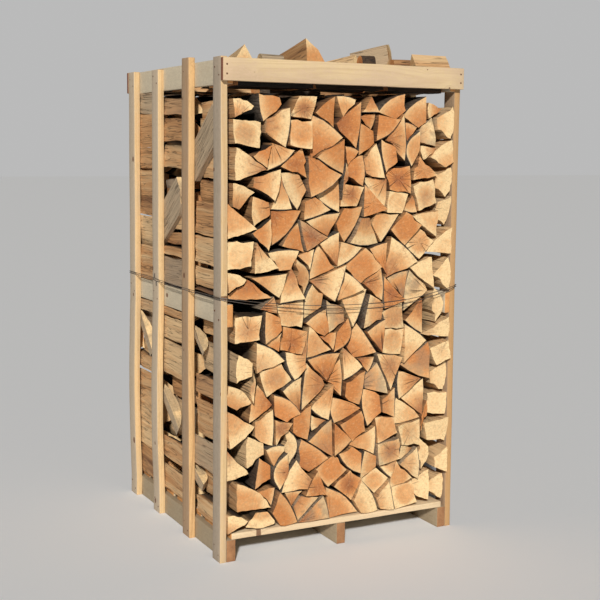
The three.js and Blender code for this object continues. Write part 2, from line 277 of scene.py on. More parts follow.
def paint_log_end():
    g = Graph("log_end")
    wood = g.attribute(WOOD)
    x, y, z = g.parts(wood)
    red, heart, grey = g.parts(g.attribute(TRAIT))
    girth = g.attribute(GIRTH, "Fac")
    radius = (x * x + y * y + 0.00001).root()
    blotch = g.noise(wood, 15, 3, 0.55)
    fine = g.noise(wood, 110, 4, 0.65)
    outward = radius / girth + (blotch - 0.5) * 0.9
    sapwood = outward.step(0.5, 0.95)
    warmth = 0.14 + red * 1.05 - sapwood * 0.62 + (blotch - 0.5) * 0.95 + (fine - 0.5) * 0.5
    colour = g.mix(warmth.step(0.0, 0.6), CREAM, HONEY)
    colour = g.mix(warmth.step(0.45, 1.1), colour, ORANGE)
    core = 1 - outward.step(0.1, 0.62)
    colour = g.mix(core * heart.step(0.4, 1.0) * 0.75, colour, HEARTWOOD)
    patch = g.noise(wood, 36, 4, 0.65).step(0.52, 0.72)
    colour = g.mix(patch * heart * 0.4, colour, HEARTWOOD)
    speck = g.noise(wood, 84, 5, 0.72)
    colour = g.mix((speck - 0.5) * 1.9, colour, ORANGE)
    colour = g.mix((0.47 - speck) * 1.7, colour, CREAM)
    colour = g.mix(grey.step(0.9, 1.0) * blotch.step(0.35, 0.6) * 0.6 + patch * 0.12, colour, GREYED)
    wobble = g.noise(wood, 40, 2) * 9
    rings = (radius * (2 * math.pi / RING_WIDTH) + wobble).wave()
    toward = g.point(x / radius, y / radius, z)
    rays = g.noise(toward, 30, 2, 0.5)
    split = 1 - abs(g.noise(toward, 1.9, 1) - 0.5).step(0.0, 0.007)
    split = split * (1 - radius.step(0.05, 0.1)) * (heart + grey).step(1.0, 1.15)
    turn = red * 3.1
    along = x * turn.wave() + y * (turn + math.pi / 2).wave()
    saw = g.noise(g.point(along, z, 0.0), 380, 2, 0.6)
    light = 1.02 + rings * 0.03 + (rays - 0.5) * 0.14 + (saw - 0.5) * 0.36 + (fine - 0.5) * 0.8
    colour = g.shade(colour, light * (1 - split * 0.75))
    height = saw * 0.5 + fine * 0.6 + rings * 0.06 - split * 2.5
    return g.finish(colour, 0.78 + (fine - 0.5) * 0.2, height, 0.0014)


log_end = paint_log_end()

# %% [markdown]
# ## Split faces
# An axe tears wood along its fibres, so a split face is long streaks and ridges, tan to
# brown, paler where fresh sapwood shows. Noise that is stretched along the grain gives
# streaks of two sizes, and the same noise lifts the ridges.

# %% Paint for split faces
SPLIT_PALE = tint(228, 192, 144)
SPLIT_TAN = tint(200, 150, 100)
SPLIT_BROWN = tint(112, 74, 46)
WEATHERED = tint(168, 152, 130)
CRACK = tint(52, 34, 24)


def paint_split_face():
    g = Graph("split_face")
    x, y, z = g.parts(g.attribute(WOOD))
    red, heart, grey = g.parts(g.attribute(TRAIT))
    streak = g.noise(g.point(x * 34, y * 34, z * 2.2), 1, 3, 0.55)
    fibre = g.noise(g.point(x * 170, y * 170, z * 6), 1, 4, 0.65)
    hair = g.noise(g.point(x * 620, y * 620, z * 16), 1, 2, 0.6)
    bend = (g.noise(g.point(x * 20, y * 20, z * 6), 1, 2) - 0.5) * 0.012
    crack = g.noise(g.point((x + bend) * 95, (y + bend) * 95, z * 3.0), 1, 1, 0.4)
    crack = 1 - abs(crack - 0.46).step(0.0, 0.022)
    warmth = streak * 1.4 + red * 0.85 + heart * 0.3 - 0.8
    colour = g.mix(warmth.step(0.0, 0.55), SPLIT_PALE, SPLIT_TAN)
    colour = g.mix(warmth.step(0.45, 1.0), colour, SPLIT_BROWN)
    colour = g.mix(grey.step(0.72, 0.95) * 0.75, colour, WEATHERED)
    colour = g.mix(fibre.step(0.56, 0.8) * 0.55, colour, SPLIT_BROWN)
    colour = g.mix(crack * 0.45, colour, CRACK)
    light = 0.72 + fibre * 0.45 + (hair - 0.5) * 0.3 + (streak - 0.5) * 0.35
    # Painted shade: split faces darken deep inside the stack, where the logs around them shade them.
    colour = g.shade(colour, light * inner_shade(g))
    height = fibre * 1.0 + streak * 1.6 + hair * 0.2 - crack * 1.2
    return g.finish(colour, 0.86 - hair * 0.12, height, 0.004)


split_face = paint_split_face()

# %% [markdown]
# ## Bark
# The bark is smooth and grey-brown, with shallow plates that run along the log, darker
# furrows between them and pale flecks of lichen. A Voronoi pattern measured to its cell
# edges gives plates with furrows, and it is stretched along the grain as bark is.

# %% Paint for bark
BARK_DARK = tint(38, 30, 26)
BARK_BROWN = tint(88, 66, 48)
BARK_GREY = tint(112, 102, 90)
LICHEN = tint(150, 148, 130)


def paint_bark():
    g = Graph("bark")
    wood = g.attribute(WOOD)
    x, y, z = g.parts(wood)
    red, _, grey = g.parts(g.attribute(TRAIT))
    bend = (g.noise(wood, 24, 3) - 0.5) * 1.6
    place = g.point(x * 48 + bend, y * 48 + bend, z * 9 + bend)
    cells = {"feature": "DISTANCE_TO_EDGE"}
    furrow = g.node("ShaderNodeTexVoronoi", cells, {"Vector": place, "Scale": 1.0}, "Distance")
    grain = g.noise(g.point(x * 230, y * 230, z * 70), 1, 4, 0.7)
    cloud = g.noise(wood, 12, 4, 0.6)
    colour = g.mix((cloud + red * 0.4 - 0.2).step(0.35, 0.75), BARK_GREY, BARK_BROWN)
    colour = g.mix((1 - furrow.step(0.0, 0.1)) * grain.step(0.35, 0.6), colour, BARK_DARK)
    colour = g.mix(g.noise(wood, 55, 3).step(0.64, 0.7) * grey * 0.6, colour, LICHEN)
    # Painted shade: bark darkens deep inside the stack, where the logs around it shade it.
    colour = g.shade(colour, (0.35 + grain * 0.75 + grey * 0.35) * inner_shade(g))
    height = furrow.step(0.0, 0.2) * 0.5 + grain + cloud * 1.5
    return g.finish(colour, 0.9 - grain * 0.1, height, 0.0025)


bark = paint_bark()

# %% [markdown]
# ## Sawn boards
# A board shows the tree's rings as long lines: straight where the saw cut along the radius,
# arches where it cut across the rings. The same sum gives both, because a board is only a
# slice of a tree: the distance from a pith a hand's width away, which wanders slowly along
# the length. Knots are points scattered along the board, and the rings swerve round them. The
# wide faces have greyed outdoors, and the narrow edges and the ends are nearly fresh.

# %% Paint for boards
KNOT = tint(104, 62, 36)
DIRT = tint(92, 70, 50)
END_RING_WIDTH = 0.0042


def pith_distance(x, y, first, second):
    """How far a board's wood lies from the pith of its tree, a hand's width away."""
    side = x + (first - 0.5) * 0.1
    deep = y + 0.03 + second * 0.09
    return (side * side + deep * deep).root()


def paint_board(name, pale, dark, worn, wear, figure, knots=3.0):
    """A board's finish. wear goes from 0, fresh, to 1, greyed all over, and figure from 0,
    faint rings, to 1, bold ones."""
    g = Graph(name)
    x, y, z = g.parts(g.attribute(WOOD))
    first, second, third = g.parts(g.attribute(TRAIT))
    dots = {"voronoi_dimensions": "1D", "feature": "F1"}
    nearest = g.node("ShaderNodeTexVoronoi", dots, {"W": z * knots, "Scale": 1.0}, "Distance")
    chance = g.parts(Field(g, nearest.socket.node.outputs["Color"]))
    along = nearest / knots
    across = x - (chance[0] - 0.5) * 0.11
    away = (across * across + along * along * 0.7 + 0.0000001).root()
    size = chance[1].step(0.3, 1.0) * 0.013 + 0.0015
    knot = 1 - (away / size).step(0.7, 1.05)
    swerve = 0.02 / (1 + (away / (size + 0.006)) * (away / (size + 0.006)))
    drift = g.noise(g.point(z * 0.9, first * 40, 0.0), 1, 2) * 0.06
    radius = pith_distance(x, y, first, second) + drift + swerve
    rings = g.noise(g.point(radius * 260, z * 0.5, third * 20), 1, 2, 0.6)
    fibre = g.noise(g.point(x * 420, y * 420, z * 7), 1, 4, 0.65)
    cloud = g.noise(g.point(x * 9, y * 9, z * 3.2), 1, 4, 0.6)
    speck = g.noise(g.point(x * 110, y * 110, z * 60), 1, 5, 0.75)
    colour = g.mix(rings.step(0.38, 0.68) * figure + (fibre - 0.5) * 0.7, pale, dark)
    worn_spots = cloud + fibre * 0.35 + (third - 0.5) * 0.3 + (speck - 0.5) * 0.9
    greyed = (worn_spots - 0.67 + wear * 0.75).step(0.0, 0.55)
    colour = g.mix(greyed * 0.85, colour, worn)
    dirt = g.noise(g.point(x * 60, y * 60, z * 14), 1, 5, 0.7).step(0.6, 0.85)
    colour = g.mix(dirt * (0.25 + wear * 0.3), colour, DIRT)
    colour = g.mix(knot * 0.85, colour, KNOT)
    saw = g.noise(g.point(x * 3, y * 3, z * 420), 1, 1)
    light = 0.86 + fibre * 0.3 + (saw - 0.5) * 0.06 + (speck - 0.5) * 0.6 + (cloud - 0.5) * 0.3
    colour = g.shade(colour, light)
    height = rings * 0.25 + fibre * 0.8 + saw * 0.25 - dirt * 0.3 - knot * 0.2
    return g.finish(colour, 0.8 + fibre * 0.12, height, 0.0012)


def paint_board_end(name, pale, dark):
    """The cross-cut end of a board, where the rings show as arcs."""
    g = Graph(name)
    wood = g.attribute(WOOD)
    x, y, _ = g.parts(wood)
    first, second, _ = g.parts(g.attribute(TRAIT))
    radius = pith_distance(x, y, first, second)
    rings = (radius * (2 * math.pi / END_RING_WIDTH) + g.noise(wood, 30, 2) * 4).wave()
    fine = g.noise(wood, 260, 3, 0.6)
    cloud = g.noise(wood, 35, 3, 0.6)
    colour = g.mix(rings * 0.22 + 0.3 + (cloud - 0.5) * 1.2 + (fine - 0.5) * 0.5, pale, dark)
    height = rings * 0.4 + fine
    return g.finish(colour, 0.85 + (fine - 0.5) * 0.1, height, 0.0008)


BOARD_PAINTS = {  # pale, dark and worn colours, wear, figure, knots in a metre
    "grey_slat_face": ((206, 178, 146), (134, 108, 86), (168, 154, 136), 0.75, 0.45, 3.0),
    "slat_face": ((222, 194, 158), (150, 122, 96), (186, 170, 148), 0.7, 0.45, 3.0),
    "slat_edge": ((226, 194, 144), (186, 144, 96), (192, 168, 136), 0.15, 0.5, 1.5),
    "warm_face": ((188, 152, 114), (134, 100, 72), (164, 140, 114), 0.55, 0.5, 3.0),
    "warm_edge": ((220, 180, 126), (170, 126, 82), (190, 158, 120), 0.2, 0.5, 1.5),
    "right_edge": ((208, 162, 106), (152, 108, 68), (182, 144, 100), 0.3, 0.5, 1.5),
    "rail_face": ((220, 200, 166), (158, 130, 100), (200, 188, 164), 0.8, 0.35, 3.0),
    "top_board_face": ((232, 206, 160), (176, 138, 98), (196, 170, 142), 0.3, 0.3, 3.0),
    "deck_face": ((234, 210, 172), (190, 154, 114), (190, 170, 144), 0.2, 0.5, 3.0),
    "runner_face": ((186, 156, 118), (128, 98, 70), (156, 142, 118), 0.6, 0.5, 3.0),
}
board_paints = {}
for name, (pale, dark, worn, wear, figure, knots) in BOARD_PAINTS.items():
    colours = tint(*pale), tint(*dark), tint(*worn)
    board_paints[name] = paint_board(name, *colours, wear, figure, knots)
fresh_end = paint_board_end("board_end", tint(236, 174, 106), tint(178, 108, 58))
red_end = paint_board_end("top_board_end", tint(150, 98, 72), tint(104, 62, 46))
runner_end = paint_board_end("runner_end", tint(178, 130, 88), tint(116, 74, 48))

# %% [markdown]
# ## Turning a solid into a board
# Each board's plain solid is already the right size in the right place. It is copied, not
# changed, and its doubled corners are merged. Its sharp corners are broken with a small
# bevel, it is cut into short lengths, and soft noise bends and dents it by about a millimetre,
# as wood that was sawn wet does when it dries. Modifiers could do the same, but only the
# mesh itself can carry the attributes.

# %% Start a mesh, and turn it into a piece
DOUBLES = 0.00001  # corners nearer than this are one
FLAT = math.radians(0.2)
CREASE = 32  # degrees: a sharper bend than this shows as an edge
AXES = (Vector((1, 0, 0)), Vector((0, 1, 0)), Vector((0, 0, 1)))


def add_layers(bm):
    bm.verts.layers.float_vector.new(WOOD)
    bm.verts.layers.float_vector.new(TRAIT)
    bm.verts.layers.float.new(GIRTH)
    bm.verts.layers.float.new(SHADE_DEPTH)


def copy_solid(node):
    """A bmesh copy of a solid, its corners merged and its flat sides made one face each."""
    bm = bmesh.new()
    bm.from_mesh(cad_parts[node].data)
    bmesh.ops.remove_doubles(bm, verts=bm.verts, dist=DOUBLES)
    bmesh.ops.dissolve_limit(bm, angle_limit=FLAT, verts=bm.verts, edges=bm.edges)
    add_layers(bm)
    return bm


def finish_piece(bm, name, materials, replaced, crease=CREASE):
    """Makes the bmesh an object that rides in the crate, and hides the solids that it replaces."""
    bmesh.ops.recalc_face_normals(bm, faces=bm.faces)
    mesh = bpy.data.meshes.new(name)
    bm.to_mesh(mesh)
    bm.free()
    mesh.shade_smooth()
    mesh.set_sharp_from_angle(angle=math.radians(crease))
    for material in materials:
        mesh.materials.append(material)
    piece = bpy.data.objects.new(name, mesh)
    bpy.context.scene.collection.objects.link(piece)
    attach(piece, "root")
    if replaced:
        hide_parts(*replaced)
    return piece


def cut_across(bm, direction, start, end, cuts, origin=Vector()):
    """Cuts everything in the bmesh by evenly spaced planes, so that it can bend there."""
    for place in np.linspace(start, end, cuts + 2)[1:-1]:
        everything = [*bm.verts, *bm.edges, *bm.faces]
        spot = origin + direction * place
        bmesh.ops.bisect_plane(bm, geom=everything, plane_co=spot, plane_no=direction)


def break_edges(bm, edges, width):
    """Rounds sharp edges with a narrow bevel."""
    bmesh.ops.bevel(
        bm, geom=edges, offset=width, affect="EDGES", segments=2, profile=0.5, material=-1
    )


# %% Boards
BEVEL = 0.0022
BOARD_CUT = 0.07  # length of one stretch of a board between cuts
WIDTH_CUTS = 2
BOARD_DENT = 0.0011
DENT_WAVES, NICK_WAVES = 5, 31  # how many to a metre
SHARP = math.radians(20)


def board_axes(node):
    """The axes of a board's length, width and thickness, and its middle."""
    low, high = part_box(node)
    size = high - low
    long, wide, thick = sorted(range(3), key=lambda axis: -size[axis])
    return long, wide, thick, (low + high) / 2


def rough_board(node, materials, seed, bow):
    """Makes a board from its solid. bow is how far its middle bends along width and thickness."""
    bm = copy_solid(node)
    long, wide, thick, middle = board_axes(node)
    low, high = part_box(node)
    sharp = [edge for edge in bm.edges if edge.calc_face_angle(0) > SHARP]
    break_edges(bm, sharp, BEVEL)
    stretches = max(2, round((high[long] - low[long]) / BOARD_CUT))
    cut_across(bm, AXES[long], low[long], high[long], stretches - 1)
    cut_across(bm, AXES[wide], low[wide], high[wide], WIDTH_CUTS)
    rng = np.random.default_rng(seed)
    traits = Vector(rng.uniform(0, 1, 3))
    start = rng.uniform(0, 40)
    wood = bm.verts.layers.float_vector[WOOD]
    trait = bm.verts.layers.float_vector[TRAIT]
    for vert in bm.verts:
        place = vert.co - middle
        vert[wood] = (place[wide], place[thick], place[long] + start)
        vert[trait] = traits
        along = 2 * place[long] / (high[long] - low[long])
        dent = noise.noise_vector(vert[wood] * DENT_WAVES) * BOARD_DENT
        nick = noise.noise_vector(vert[wood] * NICK_WAVES) * BOARD_DENT * 0.5
        vert.co += dent + nick
        vert.co[wide] += bow[0] * (1 - along * along)
        vert.co[thick] += bow[1] * (1 - along * along)
    for face in bm.faces:
        facing = max(range(3), key=lambda axis: abs(face.normal[axis]))
        face.material_index = {thick: 0, wide: 1, long: 2}[facing]
    return finish_piece(bm, f"{node}_sawn", materials, [node], crease=50)


# %% Dress every board of the crate
BOARD_SEED = 100
STRAIGHT = (0.0, 0.0)
BOWS = {
    "slat_right_1": (0.0, -0.004),
    "slat_left_1": (-0.002, 0.002),
    "slat_left_2": (0.002, -0.002),
}
BOARDS = {  # paint of the wide faces, the narrow edges and the ends, and the slot
    "slat_left_1": ("grey_slat_face", "slat_edge", fresh_end, "weathered_board"),
    "slat_left_2": ("warm_face", "warm_edge", fresh_end, "weathered_board"),
    "slat_right_1": ("warm_face", "right_edge", fresh_end, "weathered_board"),
    "slat": ("slat_face", "slat_edge", fresh_end, "weathered_board"),
    "top_rail": ("rail_face", "rail_face", fresh_end, "weathered_board"),
    "mid_rail": ("rail_face", "rail_face", fresh_end, "weathered_board"),
    "top_board": ("top_board_face", "top_board_face", red_end, "sawn_board"),
    "deck_board": ("deck_face", "deck_face", fresh_end, "deck_board"),
    "runner": ("runner_face", "runner_face", runner_end, "runner_wood"),
}
made = 0
for node in sorted(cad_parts):
    kind = next((kind for kind in BOARDS if node.startswith(kind)), None)
    if kind:
        face, edge, end, slot = BOARDS[kind]
        paints = [board_paints[face], board_paints[edge], end]
        rough_board(node, paints, BOARD_SEED + made, BOWS.get(node, STRAIGHT))
        made += 1
print("boards made", made)

# %% [markdown]
# ## The shape of a split log
# A round is stood on end and split through its pith, so most logs are wedges or quarters: two
# flat torn sides that meet at the pith, and a curved side of bark. Some are slabs that lost
# the pith in a second split, some are halves, and a few are odd hearts with no bark. Each is
# an outline across the grain, with its pith at the origin. The flat sides get one or two
# points of their own, because an axe never leaves a true plane.

# %% Outlines of split logs
KINDS = {  # share of the stack, radius, angle at the pith in degrees, part that was split away
    "quarter": (26, (0.100, 0.138), (66, 96), (0.0, 0.0)),
    "wedge": (36, (0.122, 0.168), (38, 60), (0.0, 0.0)),
    "half": (3, (0.064, 0.086), (150, 176), (0.0, 0.0)),
    "slab": (12, (0.124, 0.162), (44, 70), (0.25, 0.45)),
    "small": (12, (0.070, 0.100), (45, 75), (0.0, 0.0)),
    "heart": (14, (0.056, 0.082), (360, 360), (0.0, 0.0)),
}
ARC_POINT = math.radians(17)  # one point of the bark side in this much turn
DENT = 0.0035  # how far a split side strays from flat
TRIANGLES = 0.7  # part of the hearts that have three corners and not four
PITH_SPREAD = 0.003
LEAN = 0.16  # how much farther from the pith one end of the bark side may be than the other


def split_side(rng, start, end, points=2):
    """Points between two corners of a split side, a little off the straight line."""
    start = np.array(start)
    end = np.array(end)
    run = end - start
    out = np.array([-run[1], run[0]]) / (np.hypot(*run) + 1e-9)
    places = (np.arange(points) + rng.uniform(0.6, 1.4, points)) / (points + 1)
    return [tuple(start + run * p + out * rng.normal(0, DENT)) for p in places]


def heart_outline(rng, radius):
    """A log split on every side: three or four corners round the pith, and no bark."""
    corners = 3 if rng.random() < TRIANGLES else 4
    turns = np.cumsum(rng.uniform(0.75, 1.25, corners))
    turns = rng.uniform(0, 2 * math.pi) + turns / turns[-1] * 2 * math.pi
    reach = radius * rng.uniform(0.8, 1.2, corners)
    points = [(r * math.cos(t), r * math.sin(t)) for r, t in zip(reach, turns)]
    outline = []
    for i, point in enumerate(points):
        outline += [point, *split_side(rng, point, points[(i + 1) % corners])]
    return np.array(outline), [False] * len(outline)


def log_outline(rng, kind):
    """A log's outline round its pith, and whether each side that leaves a point is bark."""
    _, radii, angles, parts = KINDS[kind]
    radius = rng.uniform(*radii)
    angle = math.radians(rng.uniform(*angles))
    if kind == "heart":
        return heart_outline(rng, radius)
    steps = max(3, round(angle / ARC_POINT))
    flatness = rng.uniform(0.2, 0.95)
    wave = rng.uniform(0, 2 * math.pi)
    lean = rng.uniform(-LEAN, LEAN)
    arc = []
    for i in range(steps + 1):
        turn = angle * i / steps
        chord = math.cos(angle / 2) / math.cos(turn - angle / 2)
        bulge = 1 + 0.02 * math.sin(2.2 * turn + wave) + lean * (i / steps - 0.5)
        reach = radius * ((1 - flatness) + flatness * chord) * bulge
        arc.append((reach * math.cos(turn), reach * math.sin(turn)))
    cut = rng.uniform(*parts)
    tip = [(cut * radius * math.cos(angle), cut * radius * math.sin(angle)), (cut * radius, 0.0)]
    if cut == 0.0:
        tip = [tuple(rng.uniform(-PITH_SPREAD, PITH_SPREAD, 2))]
    outline = [*arc, *split_side(rng, arc[-1], tip[0]), *tip, *split_side(rng, tip[-1], arc[0])]
    return np.array(outline), [True] * steps + [False] * (len(outline) - steps)


# %% [markdown]
# ## Stacking the logs
# A row is a wall of log ends, and a wall is built from the bottom up: find the lowest place,
# try many logs there in many turns, and keep the one that sits lowest and wastes least room.
# A rigid-body simulation would settle real shapes but leaves a looser, bumpier pile than a
# person stacks by hand, and it takes minutes. Here the top of the stack is a height for
# each 4 mm of width, a log's underside is sampled in the same steps, and one subtraction says
# how low it can sit.

# %% One log shape as the stack sees it
STEP = 0.004
AIR = 0.0038  # left between stacked logs
LEVELS = 8  # heights at which a log's sides are measured
WALL_ROOM = 0.08  # a log this near a side wall leaves no room for another beside it
WALL_WEIGHT = 2.0  # how much worse an empty spot is beside a wall, where it shows
WALL_TURNS = 24  # more turns of each log, tried in search of one that is flat on one side
WALL_KINDS = ("quarter", "wedge", "slab")
WALL_TRIES = 60
LIBRARY, TURNS = 90, 16  # shapes to choose from, and turns of each


class Shape:
    """A log's outline in one turn, and its lowest and highest points in each step of width."""

    def __init__(self, outline, bark_sides, turn):
        cos, sin = math.cos(turn), math.sin(turn)
        self.outline = outline @ np.array([[cos, sin], [-sin, cos]])
        self.bark_sides = bark_sides
        self.left = self.outline[:, 0].min()
        width = self.outline[:, 0].max() - self.left
        self.steps = math.ceil(width / STEP)
        columns = self.left + (np.arange(self.steps) + 0.5) * width / self.steps
        self.under = np.full(self.steps, np.inf)
        self.over = np.full(self.steps, -np.inf)
        ends = np.roll(self.outline, -1, 0)
        for (ax, az), (bx, bz) in zip(self.outline, ends):
            (ax, az), (bx, bz) = sorted([(ax, az), (bx, bz)])
            inside = (columns >= ax) & (columns <= bx)
            heights = az + (bz - az) * (columns[inside] - ax) / max(bx - ax, 1e-9)
            self.under[inside] = np.minimum(self.under[inside], heights)
            self.over[inside] = np.maximum(self.over[inside], heights)
        twice = self.outline[:, 0] * ends[:, 1] - ends[:, 0] * self.outline[:, 1]
        self.area = abs(twice.sum()) / 2
        self.left_waste, self.right_waste = self.side_waste(ends)

    def side_waste(self, ends):
        """The areas left empty beside the shape when it stands against a wall on either side."""
        low, high = self.outline[:, 1].min(), self.outline[:, 1].max()
        levels = low + (np.arange(LEVELS) + 0.5) * (high - low) / LEVELS
        crossings = [[] for _ in levels]
        for (ax, az), (bx, bz) in zip(self.outline, ends):
            for level, crossing in zip(levels, crossings):
                if min(az, bz) <= level < max(az, bz):
                    crossing.append(ax + (bx - ax) * (level - az) / (bz - az))
        left = np.mean([min(c) for c in crossings if c]) - self.left
        right = self.left + self.steps * STEP - np.mean([max(c) for c in crossings if c])
        return left * (high - low), right * (high - low)


def shape_library(rng):
    """Logs to choose from, each in many turns, and those that stand flat against either wall."""
    kinds = [kind for kind, facts in KINDS.items() for _ in range(facts[0])]
    library, flat_left, flat_right = [], [], []
    for _ in range(LIBRARY):
        kind = kinds[rng.integers(len(kinds))]
        outline, bark_sides = log_outline(rng, kind)
        angles = rng.uniform(0, 2 * math.pi, TURNS + WALL_TURNS)
        turned = [Shape(outline, bark_sides, angle) for angle in angles]
        library += turned[:TURNS]
        if kind in WALL_KINDS:
            flat_left += sorted(turned, key=lambda shape: shape.left_waste)[:2]
            flat_right += sorted(turned, key=lambda shape: shape.right_waste)[:2]
    return library, flat_left, flat_right


# %% Where a row's logs may go
GRAZE = 0.075  # a splint that passes a row's front by less than this only makes logs start later


def row_space(node):
    """A row's room: its sides, floor and top, and the rails and splints that it keeps clear of."""
    low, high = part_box(node)
    beside = ("mid_rail", "top_rail", "side_splint")
    blocks = []
    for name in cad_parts:
        near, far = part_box(name)
        shared = min(far.y, high.y) - max(near.y, low.y)
        if name.startswith(beside) and shared > GRAZE:
            blocks.append((near, far))
    return low, high, blocks


def side_walls(blocks, low_x, bottom, top):
    """For many seats at once, how far left and right a log may reach past rails and splints."""
    left_wall = np.full(len(top), low_x)
    right_wall = np.full(len(top), -low_x)
    for near, far in blocks:
        level = (top > near.z) & (bottom < far.z)
        if far.x < 0:
            left_wall = np.where(level, np.maximum(left_wall, far.x), left_wall)
        else:
            right_wall = np.where(level, np.minimum(right_wall, near.x), right_wall)
    return left_wall, right_wall


# %% The stacking itself
TRIES = {"log_row_front": 320, "log_row_middle": 100, "log_row_back": 260}
SHORTLIST = 26
VALLEY = 13  # steps: a gap narrower than this is hard to fill
DEEPEST = 0.2  # a gap is not counted as deeper than this
WASTE_COST = 0.09  # of the room left empty under a log, for its size
GAP_COST = 0.8  # of a gap too narrow to fill, beside that
SIZE_POWERS = (0.75, 0.8)  # how much more a big log may waste, at the first choice and the last
LIFT_COSTS = (0.042, 0.04)  # of each metre that a log sits higher, at the same two choices
SECOND_BEST = 0.25  # how often the second best seat is taken, so that no two stacks agree
LOWEST_LOG = 0.03  # nothing is laid where less height than this is left
SMOOTHING = 9  # steps
NEARBY = 30  # steps: narrow gaps are counted this far to each side of a log
FULL = 9.0  # the height that stands for a column with no room left


def narrow_gaps(heights):
    """The area of the gaps in the top of the stack that are too narrow for a log."""
    padded = np.pad(heights, VALLEY, constant_values=heights.max() + 1)
    windows = np.lib.stride_tricks.sliding_window_view
    closed = windows(windows(padded, VALLEY).max(1), VALLEY).min(1)
    start = (len(closed) - len(heights)) // 2
    closed = closed[start : start + len(heights)]
    return np.clip(closed - heights, 0, DEEPEST).sum() * STEP


def best_seat(shape, heights, lowest, low_x, ceiling, blocks):
    """The best place of a shape over the lowest column, as (cost, first step, height, waste)."""
    count = shape.steps
    first = max(0, lowest - count + 2)
    last = min(len(heights) - count, max(lowest - 1, first))
    if last < first:
        first = last
    span = slice(first, last + count)
    windows = np.lib.stride_tricks.sliding_window_view
    under = windows(heights[span], count)
    level = (under - shape.under).max(1) + AIR
    waste = (level[:, None] + shape.under - under).sum(1) * STEP
    top = level + shape.over.max()
    bottom = level + shape.under.min()
    left = low_x + np.arange(first, last + 1) * STEP
    too_high = (level[:, None] + shape.over > windows(ceiling[span], count)).any(1)
    left_wall, right_wall = side_walls(blocks, low_x, bottom, top)
    left_gap = left - left_wall
    right_gap = right_wall - left - count * STEP
    sits = ~too_high & (left_gap > -0.0001) & (right_gap > -0.0001)
    tall = shape.over.max() - shape.under.min()
    waste = waste + WALL_WEIGHT * (left_gap < WALL_ROOM) * (left_gap * tall + shape.left_waste)
    waste = waste + WALL_WEIGHT * (right_gap < WALL_ROOM) * (right_gap * tall + shape.right_waste)
    lift = (top + bottom) / 2 - heights[lowest]
    cost = waste / shape.area ** SIZE_POWERS[0] * WASTE_COST + LIFT_COSTS[0] * lift
    cost = np.where(sits, cost, np.inf)
    best = int(np.argmin(cost))
    return cost[best], first + best, level[best], waste[best]


def close_hollow(heights, lowest):
    """Counts a hollow that no log fits as filled, so that later logs may bridge it."""
    level = heights[lowest] + 0.01
    start = end = lowest
    while start > 0 and heights[start - 1] <= level:
        start -= 1
    while end < len(heights) - 1 and heights[end + 1] <= level:
        end += 1
    banks = [heights[i] for i in (start - 1, end + 1) if 0 <= i < len(heights)]
    heights[start : end + 1] = max(min(banks, default=level), level)


def rank_seats(seats, heights, lowest):
    """Seats with the best first, as (score, first step, height, shape, heights after)."""
    ranked = []
    for _, first, height, waste, shape in seats:
        span = slice(first, first + shape.steps)
        near = slice(max(0, first - NEARBY), first + shape.steps + NEARBY)
        after = heights.copy()
        after[span] = np.maximum(after[span], height + shape.over)
        gaps = narrow_gaps(after[near]) - narrow_gaps(heights[near])
        lift = height + (shape.over.max() + shape.under.min()) / 2 - heights[lowest]
        score = (waste + GAP_COST * gaps) / shape.area ** SIZE_POWERS[1] * WASTE_COST
        ranked.append((score + LIFT_COSTS[1] * lift, first, height, shape, after))
    return sorted(ranked, key=lambda entry: entry[0])


def lowest_column(heights, ceiling):
    """The lowest place in the stack that still has room over it, or None."""
    level = np.where(heights > ceiling - LOWEST_LOG, np.inf, heights)
    if not np.isfinite(level).any():
        return None
    padded = np.pad(np.minimum(level, FULL), SMOOTHING // 2, mode="edge")
    smooth = np.convolve(padded, np.ones(SMOOTHING) / SMOOTHING, "valid")
    return int(np.argmin(np.where(np.isfinite(level), smooth, np.inf)))


def stack_row(node, seed, skyline):
    """Stacks logs in a row's space. skyline is the row's top as a line of (x, z) points."""
    rng = np.random.default_rng(seed)
    library, flat_left, flat_right = shape_library(rng)
    low, high, blocks = row_space(node)
    columns = int((high.x - low.x) / STEP)
    heights = np.full(columns, low.z)
    places = low.x + (np.arange(columns) + 0.5) * STEP
    ceiling = np.minimum(np.interp(places, *zip(*skyline)), high.z)
    logs = []
    while (lowest := lowest_column(heights, ceiling)) is not None:
        seats = []
        tries = [library[pick] for pick in rng.choice(len(library), TRIES[node], replace=False)]
        if lowest * STEP < WALL_ROOM:
            tries += [flat_left[pick] for pick in rng.integers(len(flat_left), size=WALL_TRIES)]
        if (columns - lowest) * STEP < WALL_ROOM:
            tries += [flat_right[pick] for pick in rng.integers(len(flat_right), size=WALL_TRIES)]
        for shape in tries:
            seats.append((*best_seat(shape, heights, lowest, low.x, ceiling, blocks), shape))
        seats = sorted([s for s in seats if np.isfinite(s[0])], key=lambda s: s[0])[:SHORTLIST]
        if not seats:
            close_hollow(heights, lowest)
            continue
        ranked = rank_seats(seats, heights, lowest)
        second = len(ranked) > 1 and rng.random() > 1 - SECOND_BEST
        _, first, height, shape, heights = ranked[1 if second else 0]
        pith = np.array([low.x + first * STEP - shape.left, height])
        logs.append((shape.outline + pith, shape.bark_sides, pith))
    return logs


# %% [markdown]
# ## Sticks in the last hollows
# Round shapes leave hollows against a straight wall, and whoever stacked this crate pushed
# thin split sticks into them. So the free room between the outermost logs and each side is
# measured at every level, and each stretch of it that is wide and tall enough gets a stick
# that follows its outline.

# %% Sticks beside the side walls
STICK_ROOM = 0.018  # a hollow narrower than this stays empty
STICK_WIDEST = 0.085
STICK_TALL = (0.03, 0.105)  # a stick is no lower and no higher than this
STICK_POINTS = 5
STICK_AIR = 0.002
STICK_FLOOR, STICK_CEILING = 0.012, 0.02  # left free under and over all sticks


